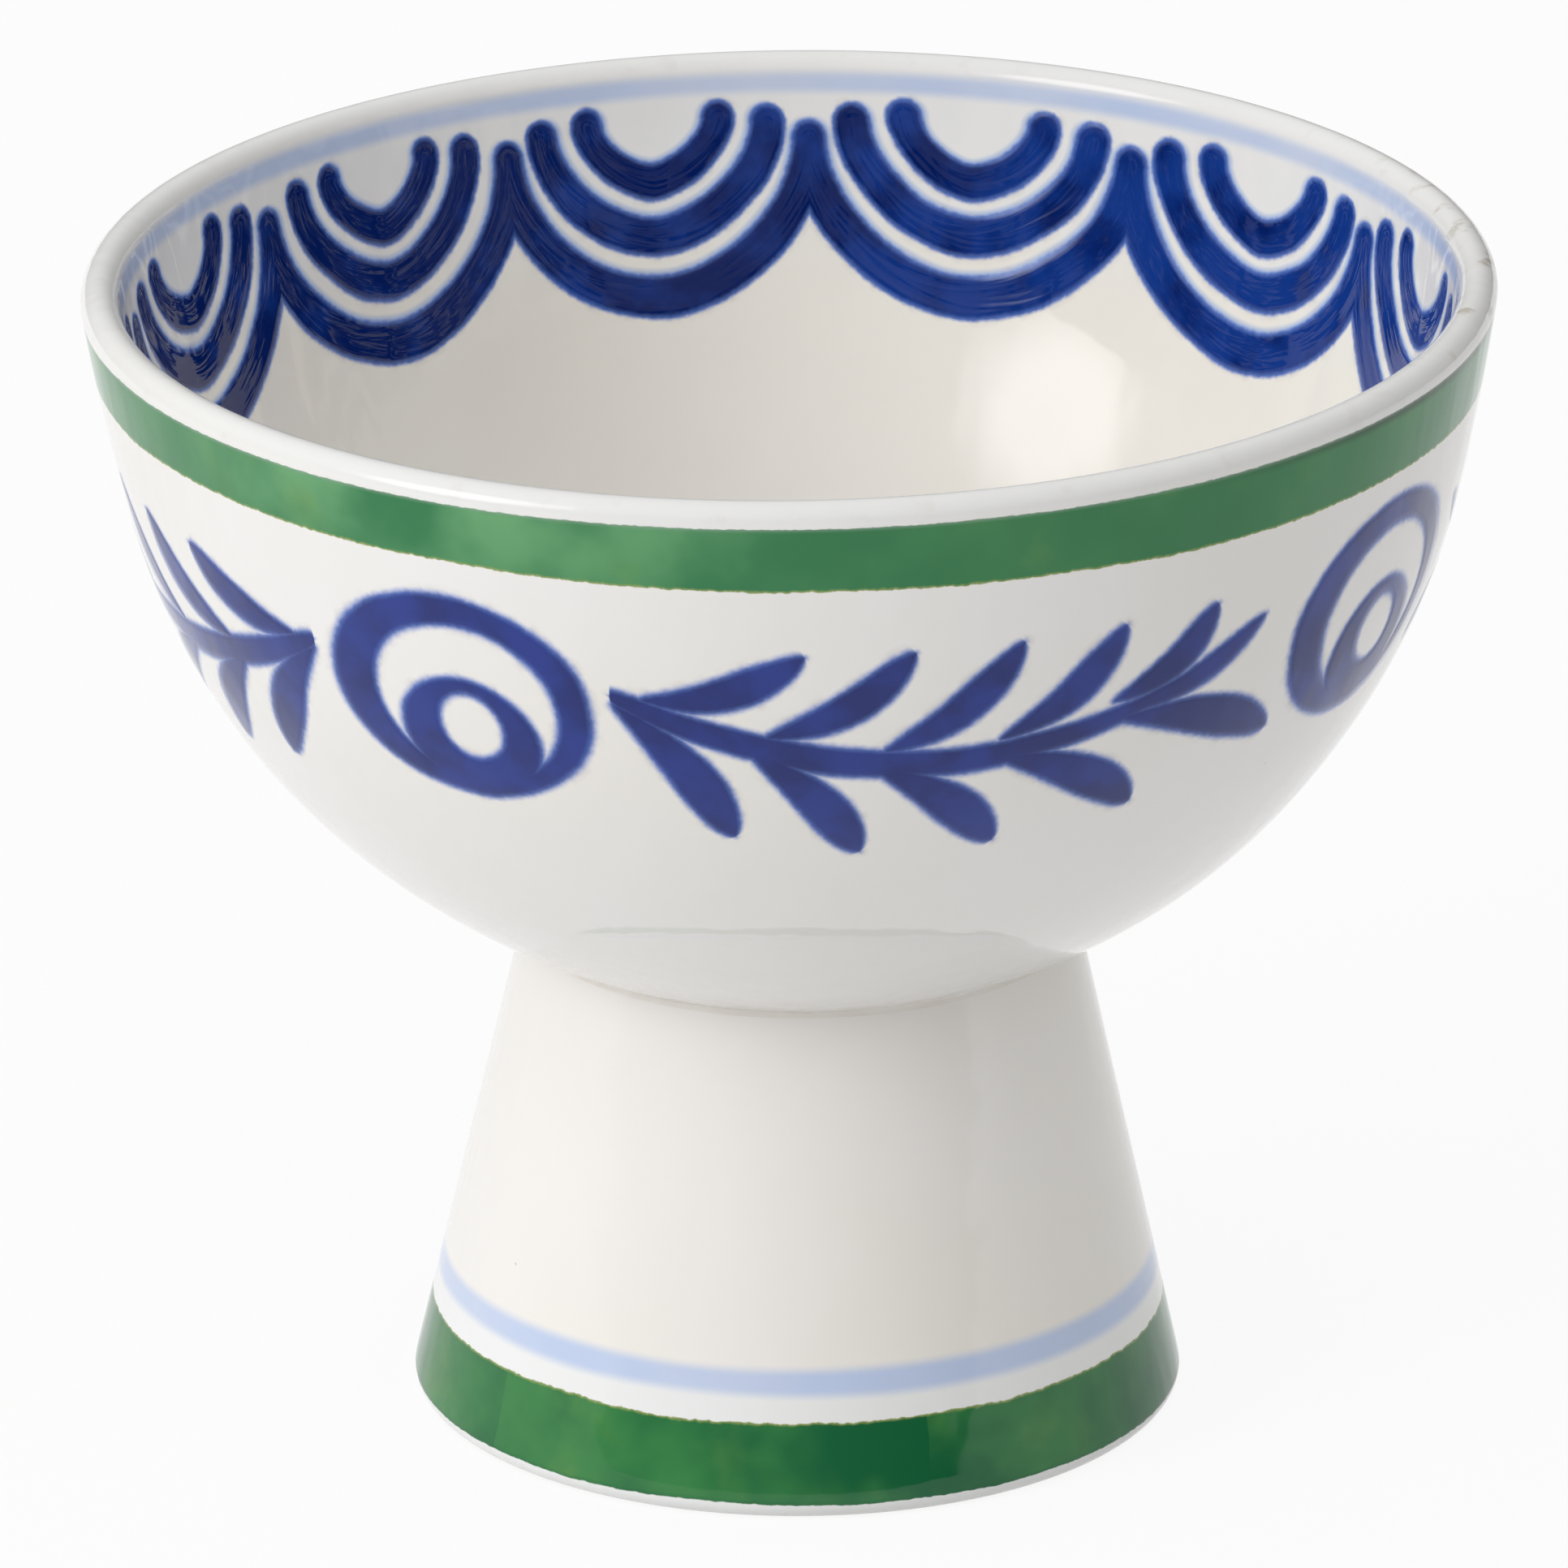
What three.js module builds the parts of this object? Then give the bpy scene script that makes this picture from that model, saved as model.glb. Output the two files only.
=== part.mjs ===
// A footed bowl of white glazed porcelain: a spherical bowl on a hollow conical foot.
// The bowl and the foot are two clay pieces. A thin ring of slip sticks them together.
// Millimetres, +Z up. The origin is the centre of the ring that the foot stands on.
import * as THREE from "three";

// Bowl
const RIM_RADIUS = 70; // outside, where the lip's round begins
const OVERALL_HEIGHT = 118; // from the table to the top of the lip
const BOWL_WALL = 3.8; // the lip is a half round of this thickness
const WALL_CURVE_RADIUS = 233; // the gentle outward curve of the upper wall
const LIP_LEAN = THREE.MathUtils.degToRad(8.7); // the wall's lean from upright under the lip
const SHOULDER_LEAN = THREE.MathUtils.degToRad(13.7); // its lean where the sphere begins

// Foot
const JOINT_RADIUS = 27.7; // outside, where the foot meets the bowl
const FOOT_BASE_RADIUS = 39; // where the straight side would reach the table
const FOOT_WALL = 5; // measured level
const BASE_OUTER_ROUND = 1.6;
const BASE_INNER_ROUND = 0.8;

// Joint
const SLIP_THICKNESS = 0.6; // measured upright

// Facets of the round stretches
const TURNS = 64; // round the axis
const BELLY_STEPS = 10;
const DOME_STEPS = 4;
const WALL_STEPS = 3;
const HALF_LIP_STEPS = 3;
const BASE_STEPS = 4;

const UP = Math.PI / 2;
const DOWN = -Math.PI / 2;
const SAME_POINT = 1e-6;

// The upper wall and the sphere below it touch at the shoulder, so the sphere's radius follows
// from the rim's radius and the two leans.
const wallSpread = WALL_CURVE_RADIUS * (Math.cos(LIP_LEAN) - Math.cos(SHOULDER_LEAN));
const wallHeight = WALL_CURVE_RADIUS * (Math.sin(SHOULDER_LEAN) - Math.sin(LIP_LEAN));
const sphereRadius = (RIM_RADIUS - wallSpread) / Math.cos(SHOULDER_LEAN);
const lipRadius = BOWL_WALL / 2;
const lipBaseHeight = OVERALL_HEIGHT - lipRadius * (1 + Math.sin(LIP_LEAN));

// Centres of the section's arcs. In the section plane x is the radius and y is the height.
const lipCentre = new THREE.Vector2(
  RIM_RADIUS - lipRadius * Math.cos(LIP_LEAN),
  OVERALL_HEIGHT - lipRadius,
);
const wallCentre = new THREE.Vector2(
  RIM_RADIUS - WALL_CURVE_RADIUS * Math.cos(LIP_LEAN),
  lipBaseHeight + WALL_CURVE_RADIUS * Math.sin(LIP_LEAN),
);
const sphereCentre = new THREE.Vector2(
  0,
  lipBaseHeight - wallHeight + sphereRadius * Math.sin(SHOULDER_LEAN),
);

// Angle, round the sphere's centre, of the point on its underside at a given radius.
function undersideAngle(radius) {
  return -Math.acos(radius / sphereRadius);
}

function undersidePoint(radius) {
  const height = sphereCentre.y + sphereRadius * Math.sin(undersideAngle(radius));
  return new THREE.Vector2(radius, height);
}

// The seat is a conical land on the bowl's underside, as wide as the foot's wall.
const seatInner = undersidePoint(JOINT_RADIUS - FOOT_WALL);
const seatOuter = undersidePoint(JOINT_RADIUS);

// The foot's side is one straight line from the joint to the table.
const sideSlope = (FOOT_BASE_RADIUS - JOINT_RADIUS) / seatOuter.y;
const sideLean = Math.atan(sideSlope);

function sideRadius(height) {
  return FOOT_BASE_RADIUS - sideSlope * height;
}

// The foot's top edge lies one thickness of slip below the seat.
const topOuterHeight = seatOuter.y - SLIP_THICKNESS;
const topInnerHeight = seatInner.y - SLIP_THICKNESS;
const topOuter = new THREE.Vector2(sideRadius(topOuterHeight), topOuterHeight);
const topInner = new THREE.Vector2(topOuter.x - FOOT_WALL, topInnerHeight);

// Points of an arc in the section plane.
function arc(centre, radius, from, to, steps) {
  return Array.from({ length: steps + 1 }, (_, i) => {
    const angle = from + ((to - from) * i) / steps;
    const x = centre.x + radius * Math.cos(angle);
    return new THREE.Vector2(x, centre.y + radius * Math.sin(angle));
  });
}

// Joins stretches of a section end to end, leaving out a point that repeats the one before.
function section(...stretches) {
  return stretches.flat().filter((point, i, all) => {
    return i === 0 || point.distanceTo(all[i - 1]) > SAME_POINT;
  });
}

// Turns a section round the Z axis.
function turned(name, points, material) {
  const geometry = new THREE.LatheGeometry(points, TURNS);
  geometry.rotateX(Math.PI / 2);
  const mesh = new THREE.Mesh(geometry, material);
  mesh.name = name;
  return mesh;
}

// The bowl's section runs from the axis out under the bowl, over the lip and back inside.
function bowl() {
  const insideSphere = sphereRadius - BOWL_WALL;
  const insideWall = WALL_CURVE_RADIUS - BOWL_WALL;
  const bottom = new THREE.Vector2(0, sphereCentre.y - sphereRadius);
  const floor = new THREE.Vector2(0, sphereCentre.y - insideSphere);
  const seatInnerAngle = undersideAngle(seatInner.x);
  const seatOuterAngle = undersideAngle(seatOuter.x);
  const points = section(
    bottom,
    arc(sphereCentre, sphereRadius, DOWN, seatInnerAngle, DOME_STEPS).slice(1, -1),
    seatInner,
    seatOuter,
    arc(sphereCentre, sphereRadius, seatOuterAngle, -SHOULDER_LEAN, BELLY_STEPS).slice(1),
    arc(wallCentre, WALL_CURVE_RADIUS, -SHOULDER_LEAN, -LIP_LEAN, WALL_STEPS),
    arc(lipCentre, lipRadius, -LIP_LEAN, UP, HALF_LIP_STEPS),
    arc(lipCentre, lipRadius, UP, Math.PI - LIP_LEAN, HALF_LIP_STEPS),
    arc(wallCentre, insideWall, -LIP_LEAN, -SHOULDER_LEAN, WALL_STEPS),
    arc(sphereCentre, insideSphere, -SHOULDER_LEAN, DOWN, BELLY_STEPS + DOME_STEPS).slice(0, -1),
    floor,
  );
  const glaze = new THREE.MeshStandardMaterial({ color: 0xecebe7, roughness: 0.12, metalness: 0 });
  return turned("bowl", points, glaze);
}

// The slip fills the joint between the bowl's seat and the foot's top edge.
function lutingSlip() {
  const points = section(topInner, topOuter, seatOuter, seatInner, topInner);
  const slip = new THREE.MeshStandardMaterial({ color: 0xe4dfd4, roughness: 0.45, metalness: 0 });
  return turned("luting_slip", points, slip);
}

// The foot's section runs out under the base, up the side, over the top edge and down inside.
function foot() {
  const insideSlope = (sideRadius(0) - FOOT_WALL - topInner.x) / topInner.y;
  const insideLean = Math.atan(insideSlope);
  const insideBase = sideRadius(0) - FOOT_WALL;
  const innerRoundCentre = new THREE.Vector2(
    insideBase - insideSlope * BASE_INNER_ROUND + BASE_INNER_ROUND / Math.cos(insideLean),
    BASE_INNER_ROUND,
  );
  const outerRoundCentre = new THREE.Vector2(
    sideRadius(BASE_OUTER_ROUND) - BASE_OUTER_ROUND / Math.cos(sideLean),
    BASE_OUTER_ROUND,
  );
  const innerRound = arc(innerRoundCentre, BASE_INNER_ROUND, insideLean - Math.PI, DOWN, BASE_STEPS);
  const outerRound = arc(outerRoundCentre, BASE_OUTER_ROUND, DOWN, sideLean, BASE_STEPS);
  const points = section(innerRound, outerRound, topOuter, topInner, innerRound[0]);
  const glaze = new THREE.MeshStandardMaterial({ color: 0xebe9e4, roughness: 0.12, metalness: 0 });
  return turned("foot", points, glaze);
}

const footedBowl = new THREE.Group();
footedBowl.add(bowl(), lutingSlip(), foot());

export default footedBowl;
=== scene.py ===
# %% [markdown]
# # A painted porcelain bowl on a foot
# The real object is two turned clay pieces, a bowl and a hollow foot, stuck together with slip,
# painted, glazed and fired. The solids that are loaded here are faceted. Each is replaced by a
# finely turned mesh of the same size, and the paint is worked out by shader nodes on top of it.

# %% Load the solids
import itertools
import math

import bpy
import numpy as np
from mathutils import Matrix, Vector


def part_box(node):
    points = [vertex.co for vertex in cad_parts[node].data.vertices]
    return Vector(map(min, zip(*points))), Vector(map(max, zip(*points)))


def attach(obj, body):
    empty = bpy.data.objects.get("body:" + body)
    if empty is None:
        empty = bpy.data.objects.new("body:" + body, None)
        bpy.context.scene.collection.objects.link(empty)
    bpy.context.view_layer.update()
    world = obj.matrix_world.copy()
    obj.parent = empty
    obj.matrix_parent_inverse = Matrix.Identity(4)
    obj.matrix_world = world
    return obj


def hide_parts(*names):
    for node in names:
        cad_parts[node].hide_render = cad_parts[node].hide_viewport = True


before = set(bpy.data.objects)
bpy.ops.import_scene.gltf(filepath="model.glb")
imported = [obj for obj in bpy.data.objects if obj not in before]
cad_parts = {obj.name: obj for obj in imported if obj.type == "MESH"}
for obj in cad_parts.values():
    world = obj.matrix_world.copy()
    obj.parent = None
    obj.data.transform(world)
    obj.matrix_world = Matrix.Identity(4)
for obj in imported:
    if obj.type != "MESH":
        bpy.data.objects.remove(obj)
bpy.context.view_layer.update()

MM = 0.001

# %% [markdown]
# ## The sizes
# The rim's radius and the height are read from the solids. A box says nothing about curves, so the
# rest is given here: the wall leans a little at the lip and a little more at the shoulder, where it
# runs smoothly into a sphere. Other sizes are worked out, so that one change carries through.

# %% Sizes of the bowl
RIM_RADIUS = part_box("bowl")[1].x
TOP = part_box("bowl")[1].z
BOWL_WALL = 3.8 * MM
WALL_CURVE_RADIUS = 233 * MM
LIP_LEAN = math.radians(8.7)
SHOULDER_LEAN = math.radians(13.7)


def towards(angle):
    return Vector((math.cos(angle), math.sin(angle)))


lip_radius = BOWL_WALL / 2
lip_base = TOP - lip_radius * (1 + math.sin(LIP_LEAN))
lip_centre = Vector((RIM_RADIUS - lip_radius * math.cos(LIP_LEAN), TOP - lip_radius))
wall_centre = Vector((RIM_RADIUS, lip_base)) - WALL_CURVE_RADIUS * towards(-LIP_LEAN)
wall_spread = WALL_CURVE_RADIUS * (math.cos(LIP_LEAN) - math.cos(SHOULDER_LEAN))
wall_height = WALL_CURVE_RADIUS * (math.sin(SHOULDER_LEAN) - math.sin(LIP_LEAN))
sphere_radius = (RIM_RADIUS - wall_spread) / math.cos(SHOULDER_LEAN)
sphere_centre = Vector((0, lip_base - wall_height + sphere_radius * math.sin(SHOULDER_LEAN)))
print(f"rim radius {RIM_RADIUS / MM:.1f} mm, height {TOP / MM:.1f} mm")
print(f"belly radius {sphere_radius / MM:.1f} mm")

# %% [markdown]
# ## Drawing a section
# A potter's section is the cut face of half the pot: radius across, height up. It could be a curve
# object, but a list of points is easier to measure along. It is drawn as a chain of arcs and
# straight lines, with points close enough together that no facet shows.

# %% Arcs, lines and chains
SECTION_STEP = 1.5 * MM
FINE_STEP = 0.3 * MM
SAME_POINT = 1e-7
DOWN = -math.pi / 2


def arc(centre, radius, start, end, step=SECTION_STEP):
    count = max(2, math.ceil(abs(end - start) * radius / step))
    return [centre + radius * towards(angle) for angle in np.linspace(start, end, count + 1)]


def line(start, end, step=SECTION_STEP):
    count = max(1, math.ceil((end - start).length / step))
    return [start.lerp(end, i / count) for i in range(count + 1)]


def chain(*stretches):
    """Joins stretches end to end and leaves out a point that repeats the one before."""
    points = []
    for point in itertools.chain(*stretches):
        if not points or (point - points[-1]).length > SAME_POINT:
            points.append(point)
    return points


print(f"points lie {SECTION_STEP / MM} mm apart, and {FINE_STEP / MM} mm on tight curves")

# %% [markdown]
# ## The bowl's section
# The bowl is one wall of even thickness, with a straight seat under it as wide as the foot's wall.
# A Solidify modifier could thicken a single surface, but it would leave a square lip. Both faces are
# drawn instead: from the axis under the bowl, over the half-round lip and back inside to the axis.

# %% The bowl's section
JOINT_RADIUS = 27.7 * MM
FOOT_WALL = 5 * MM


def underside_angle(radius):
    return -math.acos(radius / sphere_radius)


seat_inner_angle = underside_angle(JOINT_RADIUS - FOOT_WALL)
seat_outer_angle = underside_angle(JOINT_RADIUS)
seat_inner = sphere_centre + sphere_radius * towards(seat_inner_angle)
seat_outer = sphere_centre + sphere_radius * towards(seat_outer_angle)
bowl_outside = chain(
    arc(sphere_centre, sphere_radius, DOWN, seat_inner_angle),
    line(seat_inner, seat_outer),
    arc(sphere_centre, sphere_radius, seat_outer_angle, -SHOULDER_LEAN),
    arc(wall_centre, WALL_CURVE_RADIUS, -SHOULDER_LEAN, -LIP_LEAN),
)
bowl_inside = chain(
    arc(lip_centre, lip_radius, -LIP_LEAN, math.pi - LIP_LEAN, FINE_STEP),
    arc(wall_centre, WALL_CURVE_RADIUS - BOWL_WALL, -LIP_LEAN, -SHOULDER_LEAN),
    arc(sphere_centre, sphere_radius - BOWL_WALL, -SHOULDER_LEAN, DOWN),
)
bowl_section = chain(bowl_outside, bowl_inside)
print("bowl section:", len(bowl_section), "points")
print(f"the foot meets the bowl at a height of {seat_outer.y / MM:.1f} mm")

# %% [markdown]
# ## The foot's walls
# The foot is a hollow cone, open below so that the clay dries and fires evenly. A cone with a
# Solidify modifier would be close. Here both sides are worked out as straight lines, because the
# top has to meet the bowl's seat with an even layer of slip between them.

# %% The foot's walls
FOOT_BASE_RADIUS = 39 * MM
SLIP_THICKNESS = 0.6 * MM

side_slope = (FOOT_BASE_RADIUS - JOINT_RADIUS) / seat_outer.y
top_height = seat_outer.y - SLIP_THICKNESS
top_outer = Vector((FOOT_BASE_RADIUS - side_slope * top_height, top_height))
top_inner = Vector((top_outer.x - FOOT_WALL, seat_inner.y - SLIP_THICKNESS))
hollow_radius = FOOT_BASE_RADIUS - FOOT_WALL
hollow_slope = (hollow_radius - top_inner.x) / top_inner.y
print(f"the side leans {math.degrees(math.atan(side_slope)):.1f} degrees")

# %% [markdown]
# ## The foot's edges
# Both lower edges are rounded, as a damp sponge leaves them. A Bevel modifier would round them too,
# but these arcs touch the table and the walls exactly. The section starts and ends in the joint,
# where nothing shows.

# %% The foot's rounded edges
BASE_OUTER_ROUND = 1.6 * MM
BASE_INNER_ROUND = 0.8 * MM


def round_centre(base_radius, slope, rounding, towards_clay):
    """The centre of an edge's arc, which touches the table and a wall of that slope."""
    wall_radius = base_radius - slope * rounding
    return Vector((wall_radius + towards_clay * rounding * math.hypot(1, slope), rounding))


inner_centre = round_centre(hollow_radius, hollow_slope, BASE_INNER_ROUND, 1)
outer_centre = round_centre(FOOT_BASE_RADIUS, side_slope, BASE_OUTER_ROUND, -1)
inner_start = math.atan(hollow_slope) - math.pi
inner_round = arc(inner_centre, BASE_INNER_ROUND, inner_start, DOWN, FINE_STEP)
outer_round = arc(outer_centre, BASE_OUTER_ROUND, DOWN, math.atan(side_slope), FINE_STEP)
foot_hollow = chain(
    line(top_inner, inner_round[0]),
    inner_round,
    line(inner_round[-1], outer_round[0], FINE_STEP),
)
foot_side = chain(
    outer_round,
    line(outer_round[-1], top_outer),
    line(top_outer, top_inner),
)
foot_section = chain(foot_hollow, foot_side)
print("foot section:", len(foot_section), "points")

# %% [markdown]
# ## The slip in the joint
# Slip is liquid clay. It squeezes out a little when the foot is pressed on, and the potter wipes it
# to a small hollow curve with a fingertip. That curve is a circle that touches both the sphere and
# the foot's side, so its centre lies one fillet's radius away from each.

# %% The slip's section
SLIP_FILLET = 0.25 * MM
FILLET_STEP = 0.1 * MM

side_along = Vector((-side_slope, 1)).normalized()
side_out = Vector((side_along.y, -side_along.x))
side_start = Vector((FOOT_BASE_RADIUS, 0)) + side_out * SLIP_FILLET - sphere_centre
middle = -side_start.dot(side_along)
reach = sphere_radius + SLIP_FILLET
half_chord = math.sqrt(middle**2 - side_start.length_squared + reach**2)
fillet_centre = sphere_centre + side_start + side_along * (middle - half_chord)
to_sphere = sphere_centre - fillet_centre
fillet = arc(
    fillet_centre,
    SLIP_FILLET,
    math.atan2(-side_out.y, -side_out.x) + math.tau,
    math.atan2(to_sphere.y, to_sphere.x),
    FILLET_STEP,
)
slip_section = chain([top_inner, top_outer], fillet, [seat_outer, seat_inner, top_inner])
print("slip fillet's centre:", [round(v / MM, 2) for v in fillet_centre], "mm")

# %% [markdown]
# ## Writing node trees as Python
# Both the wheel and the paint are node trees. Nodes can be wired by hand, but a formula reads better
# as a formula. One small class holds a tree and adds a node to it, whatever its type, from its
# settings and the values or links of its sockets. It serves Geometry Nodes and materials alike.


# %% A node tree
class Nodes:
    """A node tree; node() adds one node and returns one of its outputs as a Value."""

    def __init__(self, tree):
        self.tree = tree

    def node(self, kind, settings=None, sockets=None, output=0):
        made = self.tree.nodes.new(kind)
        for name, value in (settings or {}).items():
            setattr(made, name, value)
        for key, value in (sockets or {}).items():
            if isinstance(value, Value):
                self.tree.links.new(value.socket, made.inputs[key])
            else:
                made.inputs[key].default_value = value
        return Value(self, made.outputs[output] if made.outputs else None)

    def mix(self, factor, first, second):
        """A colour between two; a Mix node's colours are its sockets 6 and 7 and its output 2."""
        sockets = {0: factor, 6: first, 7: second}
        return self.node("ShaderNodeMix", {"data_type": "RGBA"}, sockets, 2)

    def combine(self, **axes):
        return self.node("ShaderNodeCombineXYZ", {}, axes)

    def separate(self, vector):
        """The X of a vector; out("Y") and out("Z") of it are the others."""
        return self.node("ShaderNodeSeparateXYZ", {}, {0: vector})


print("a tree is written with node, mix, combine and separate")

# %% [markdown]
# ## Sums on sockets
# A mask in a material is mostly sums, such as one minus this, times that. Adding a Math node for
# each is the usual way. Here a second class wraps a socket, and every operator on it adds a Math node
# and gives the result back wrapped. The reflected forms make 1 - mask work too.


# %% A value in a tree
class Value:
    """One output socket that Python's operators work on."""

    def __init__(self, nodes, socket):
        self.nodes = nodes
        self.socket = socket

    def out(self, name):
        return Value(self.nodes, self.socket.node.outputs[name])

    def math(self, operation, *others, clamp=False):
        settings = {"operation": operation, "use_clamp": clamp}
        return self.nodes.node("ShaderNodeMath", settings, dict(enumerate((self, *others))))

    def vector(self, operation, other=(0, 0, 0), output=0):
        sockets = {0: self, 1: other}
        return self.nodes.node("ShaderNodeVectorMath", {"operation": operation}, sockets, output)

    def dot(self, other):
        return self.vector("DOT_PRODUCT", other, "Value")

    def length(self):
        return self.vector("LENGTH", output="Value")

    def smooth(self, low, high):
        """0 below low and 1 above high, with a smooth step between."""
        sockets = {"Value": self, "From Min": low, "From Max": high}
        return self.nodes.node("ShaderNodeMapRange", {"interpolation_type": "SMOOTHSTEP"}, sockets)

    def __add__(self, other):
        return self.math("ADD", other)

    __radd__ = __add__

    def __sub__(self, other):
        return self.math("SUBTRACT", other)

    def __rsub__(self, other):
        return (-self).math("ADD", other)

    def __mul__(self, other):
        return self.math("MULTIPLY", other)

    __rmul__ = __mul__

    def __truediv__(self, other):
        return self.math("DIVIDE", other)

    def __neg__(self):
        return self.math("MULTIPLY", -1.0)

    def __abs__(self):
        return self.math("ABSOLUTE")


print("operators on sockets are ready")

# %% [markdown]
# ## The wheel
# A lathe could be done with a Screw modifier or a Spin. Geometry Nodes do it here, because the tree
# can also leave useful marks on the clay: how far each point lies along the section, and in which
# direction round the axis. The paint needs both later. The tree has a named input for each size.

# %% A tree with named inputs
WHEEL_INPUTS = {
    "Section": "Geometry",
    "Turns": "Int",
    "Joint Height": "Float",
    "Lean": "Float",
    "Sway": "Float",
    "Drift": "Float",
    "Glaze": "Material",
}

wheel_tree = bpy.data.node_groups.new("turned on the wheel", "GeometryNodeTree")
wheel_inputs = {}
for name, kind in WHEEL_INPUTS.items():
    socket_type = f"NodeSocket{kind}"
    socket = wheel_tree.interface.new_socket(name, in_out="INPUT", socket_type=socket_type)
    wheel_inputs[name] = socket.identifier
wheel_tree.interface.new_socket("Turned", in_out="OUTPUT", socket_type="NodeSocketGeometry")
print("wheel inputs:", wheel_inputs)

# %% [markdown]
# ## A hand-made lean
# No potter sets a bowl quite straight on its foot. The foot drifts a little to one side, and above
# the joint the bowl leans back the other way. Turning the objects would do it, but a finished piece
# stays unturned, so the lean goes into the mesh. All pieces are bent by the same rule, and the
# joint stays closed.

# %% Where a turned point goes
LEAN_FADE = 25 * MM


def leaning(radius, height, angle, inputs):
    """The place of a section's point that is swung round the axis by an angle."""
    joint = inputs.out("Joint Height")
    above = (height - joint).math("MAXIMUM", 0.0)
    below = height.math("MINIMUM", joint)
    fade = above.smooth(0.0, LEAN_FADE)
    lean = fade * inputs.out("Lean")
    aside = below * inputs.out("Drift") - above * fade * inputs.out("Sway")
    across = radius * angle.math("SINE")
    return {
        "X": across * lean.math("COSINE") + aside,
        "Y": -radius * angle.math("COSINE"),
        "Z": below + across * lean.math("SINE") + above * lean.math("COSINE"),
    }


print(f"the lean sets in over {LEAN_FADE / MM} mm above the joint")

# %% [markdown]
# ## Turning a section
# A grid is made with one column for each turn and one row for each point of the section. Every grid
# point looks up its row in the section and is swung round the axis by its column. Merging the
# doubles closes the seam and the poles. The marks are left before the points move.

# %% The turning tree
MERGE = 1e-6
FLAT_MAP = "OFBake"


def looked_up(wheel, section, row, kind, value):
    """What the section's point of that row holds."""
    sockets = {"Geometry": section, "Value": value, "Index": row}
    return wheel.node("GeometryNodeSampleIndex", {"data_type": kind}, sockets)


def marked(wheel, body, name, kind, value, domain="POINT"):
    settings = {"data_type": kind, "domain": domain}
    sockets = {"Geometry": body, "Name": name, "Value": value}
    return wheel.node("GeometryNodeStoreNamedAttribute", settings, sockets)


def fill_wheel(wheel):
    section = wheel.node("NodeGroupInput", output="Section")
    turns = section.out("Turns")
    rows = wheel.node("GeometryNodeAttributeDomainSize", {}, {0: section})
    body = wheel.node("GeometryNodeMeshGrid", {}, {"Vertices X": turns + 1, "Vertices Y": rows})
    index = wheel.node("GeometryNodeInputIndex")
    row = index.math("FLOORED_MODULO", rows)
    turn = (index / rows).math("FLOOR") / turns
    angle = turn * math.tau
    along = wheel.node("GeometryNodeInputNamedAttribute", {"data_type": "FLOAT"}, {"Name": "run"})
    run = looked_up(wheel, section, row, "FLOAT", along)
    position = wheel.node("GeometryNodeInputPosition")
    radius = wheel.separate(looked_up(wheel, section, row, "FLOAT_VECTOR", position))
    place = wheel.combine(**leaning(radius, radius.out("Z"), angle, section))
    around = wheel.combine(X=angle.math("SINE"), Y=-angle.math("COSINE"))
    on_points = {"data_type": "FLOAT_VECTOR", "domain": "POINT"}
    flat = wheel.node("GeometryNodeFieldOnDomain", on_points, {"Value": wheel.combine(X=turn, Y=run)})
    body = marked(wheel, body, "run", "FLOAT", run)
    body = marked(wheel, body, "round", "FLOAT_VECTOR", around)
    body = marked(wheel, body, FLAT_MAP, "FLOAT2", flat, "CORNER")
    body = wheel.node("GeometryNodeSetPosition", {}, {"Geometry": body, "Position": place})
    body = wheel.node("GeometryNodeMergeByDistance", {}, {"Geometry": body, "Distance": MERGE})
    body = wheel.node("GeometryNodeSetShadeSmooth", {}, {"Geometry": body})
    body = wheel.node("GeometryNodeRealizeInstances", {}, {"Geometry": body})
    glaze = {"Geometry": body, "Material": section.out("Glaze")}
    body = wheel.node("GeometryNodeSetMaterial", {}, glaze)
    wheel.node("NodeGroupOutput", {}, {"Turned": body})


fill_wheel(Nodes(wheel_tree))
print("turning tree:", len(wheel_tree.nodes), "nodes")

# %% [markdown]
# ## A flat map of each wall
# Other programs can't run shader nodes, so for them the paint has to be baked into a picture, through
# a flat map of the piece. An automatic unwrap would cut the wall into many patches. A turned wall
# unrolls better in strips, as a label comes off a jar. Painted strips are cut in two halves, so that
# they come out large, and plain ones stay whole and small.

# %% Lay the unrolled wall out in strips
MAP_MARGIN = 0.004
QUARTER_TURN = 0.25


def laid_out(mesh, strips):
    """Gives each strip of (lowest run in mm, parts round the axis, height) its place on the map."""
    flat = np.empty((len(mesh.loops), 2), np.float32)
    mesh.uv_layers[FLAT_MAP].uv.foreach_get("vector", flat.ravel())
    turn, run = flat.T.astype(float)
    sizes = np.empty(len(mesh.polygons), np.int32)
    mesh.polygons.foreach_get("loop_total", sizes)
    face = np.repeat(np.arange(len(sizes)), sizes)

    def face_mean(values):
        return np.bincount(face, values) / sizes

    turn = turn + QUARTER_TURN - np.floor(face_mean(turn) + QUARTER_TURN)[face]
    face_turn = face_mean(turn)
    face_run = face_mean(run) / MM
    base = MAP_MARGIN
    highest = math.inf
    for lowest, parts, height in strips:
        in_strip = (face_run >= lowest) & (face_run < highest)
        highest = lowest
        for part in range(parts):
            corners = (in_strip & (np.floor(face_turn * parts) == part))[face]
            across = turn[corners] * parts - part
            up = (run[corners].max() - run[corners]) / np.ptp(run[corners])
            flat[corners, 0] = MAP_MARGIN + across * (1 - 2 * MAP_MARGIN)
            flat[corners, 1] = base + up * height
            base += height + MAP_MARGIN
    mesh.uv_layers[FLAT_MAP].uv.foreach_set("vector", flat.ravel())
    print("strips fill the map to a height of", round(base, 3))


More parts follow.
